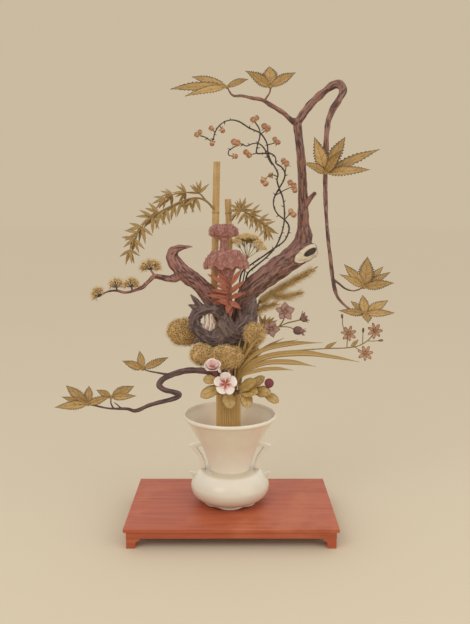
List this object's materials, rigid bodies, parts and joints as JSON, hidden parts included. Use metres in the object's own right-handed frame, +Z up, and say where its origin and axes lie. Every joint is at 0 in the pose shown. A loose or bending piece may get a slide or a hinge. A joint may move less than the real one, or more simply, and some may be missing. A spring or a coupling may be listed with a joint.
{
  "type": "ikebana arrangement",
  "caption": "Standing flower arrangement of branches, pine, bamboo, driftwood and blooms gripped by a straw bundle in a white two-handled vase on a low lacquered stand.",
  "frame": {"origin": "middle of the arrangement's overall box, on the floor under the stand's legs", "axes": "+Z up; +X to the viewer's right as the arrangement is shown; +Y away from the viewer"},
  "size_m": [0.7882, 0.307, 1.1197],
  "materials": {
    "orange_lacquer": "satin lacquer over wood",
    "white_glaze": "warm white glaze",
    "cut_straw": "dry straw, matt",
    "tie_cord": "twisted cord, matt",
    "plum_brown_bark": "rough bark, matt",
    "weathered_wood": "weathered wood, matt",
    "ochre_leaf": "leaf, slight sheen",
    "ochre_needle": "pine needles, matt",
    "bamboo_culm": "smooth bamboo, satin",
    "rose_crest": "velvety crest, matt",
    "red_orange_leaf": "leaf, slight sheen",
    "dark_vine": "thin woody vine with berries",
    "yellow_umbel": "small florets, matt",
    "mauve_petal": "petal, soft sheen",
    "russet_petal": "petal, soft sheen",
    "white_petal": "petal, soft sheen"
  },
  "bodies": {
    "root": {"aster_bloom_left": "russet_petal", "aster_bloom_low": "russet_petal", "aster_bloom_right": "russet_petal", "aster_stem": "ochre_leaf", "bamboo_culm_short": "bamboo_culm", "bamboo_culm_tall": "bamboo_culm", "bamboo_spray_left": "ochre_leaf", "bamboo_spray_right": "ochre_leaf", "bellflower_lower": "mauve_petal", "bellflower_stem": "ochre_leaf", "bellflower_upper": "mauve_petal", "bundle_tie": "tie_cord", "camellia_half": "white_petal", "camellia_open": "white_petal", "camellia_stem": "ochre_leaf", "cockscomb_leaves": "red_orange_leaf", "cockscomb_lower": "rose_crest", "cockscomb_upper": "rose_crest", "driftwood_stump": "weathered_wood", "leaves_low_left": "ochre_leaf", "leaves_low_middle": "ochre_leaf", "leaves_low_upper": "ochre_leaf", "leaves_middle": "ochre_leaf", "leaves_right_lower": "ochre_leaf", "leaves_right_upper": "ochre_leaf", "leaves_top": "ochre_leaf", "leaves_top_left": "ochre_leaf", "long_blade_1": "ochre_leaf", "long_blade_2": "ochre_leaf", "long_blade_3": "ochre_leaf", "long_blade_4": "ochre_leaf", "long_blade_5": "ochre_leaf", "long_blade_6": "ochre_leaf", "low_branch": "plum_brown_bark", "main_branch": "plum_brown_bark", "pine_branch": "plum_brown_bark", "pine_mound_front": "ochre_needle", "pine_mound_left": "ochre_needle", "pine_mound_mid": "ochre_needle", "pine_mound_right": "ochre_needle", "pine_mound_upper": "ochre_needle", "pine_pad_inner": "ochre_needle", "pine_pad_second": "ochre_needle", "pine_pad_third": "ochre_needle", "pine_pad_tip": "ochre_needle", "stand_apron": "orange_lacquer", "stand_board": "orange_lacquer", "stand_leg_back_left": "orange_lacquer", "stand_leg_back_right": "orange_lacquer", "stand_leg_front_left": "orange_lacquer", "stand_leg_front_right": "orange_lacquer", "straw_bundle": "cut_straw", "vase_body": "white_glaze", "vine_first": "dark_vine", "vine_second": "dark_vine", "vine_tendril": "dark_vine", "yellow_umbel": "yellow_umbel", "young_pine": "ochre_needle"}
  },
  "joints": []
}
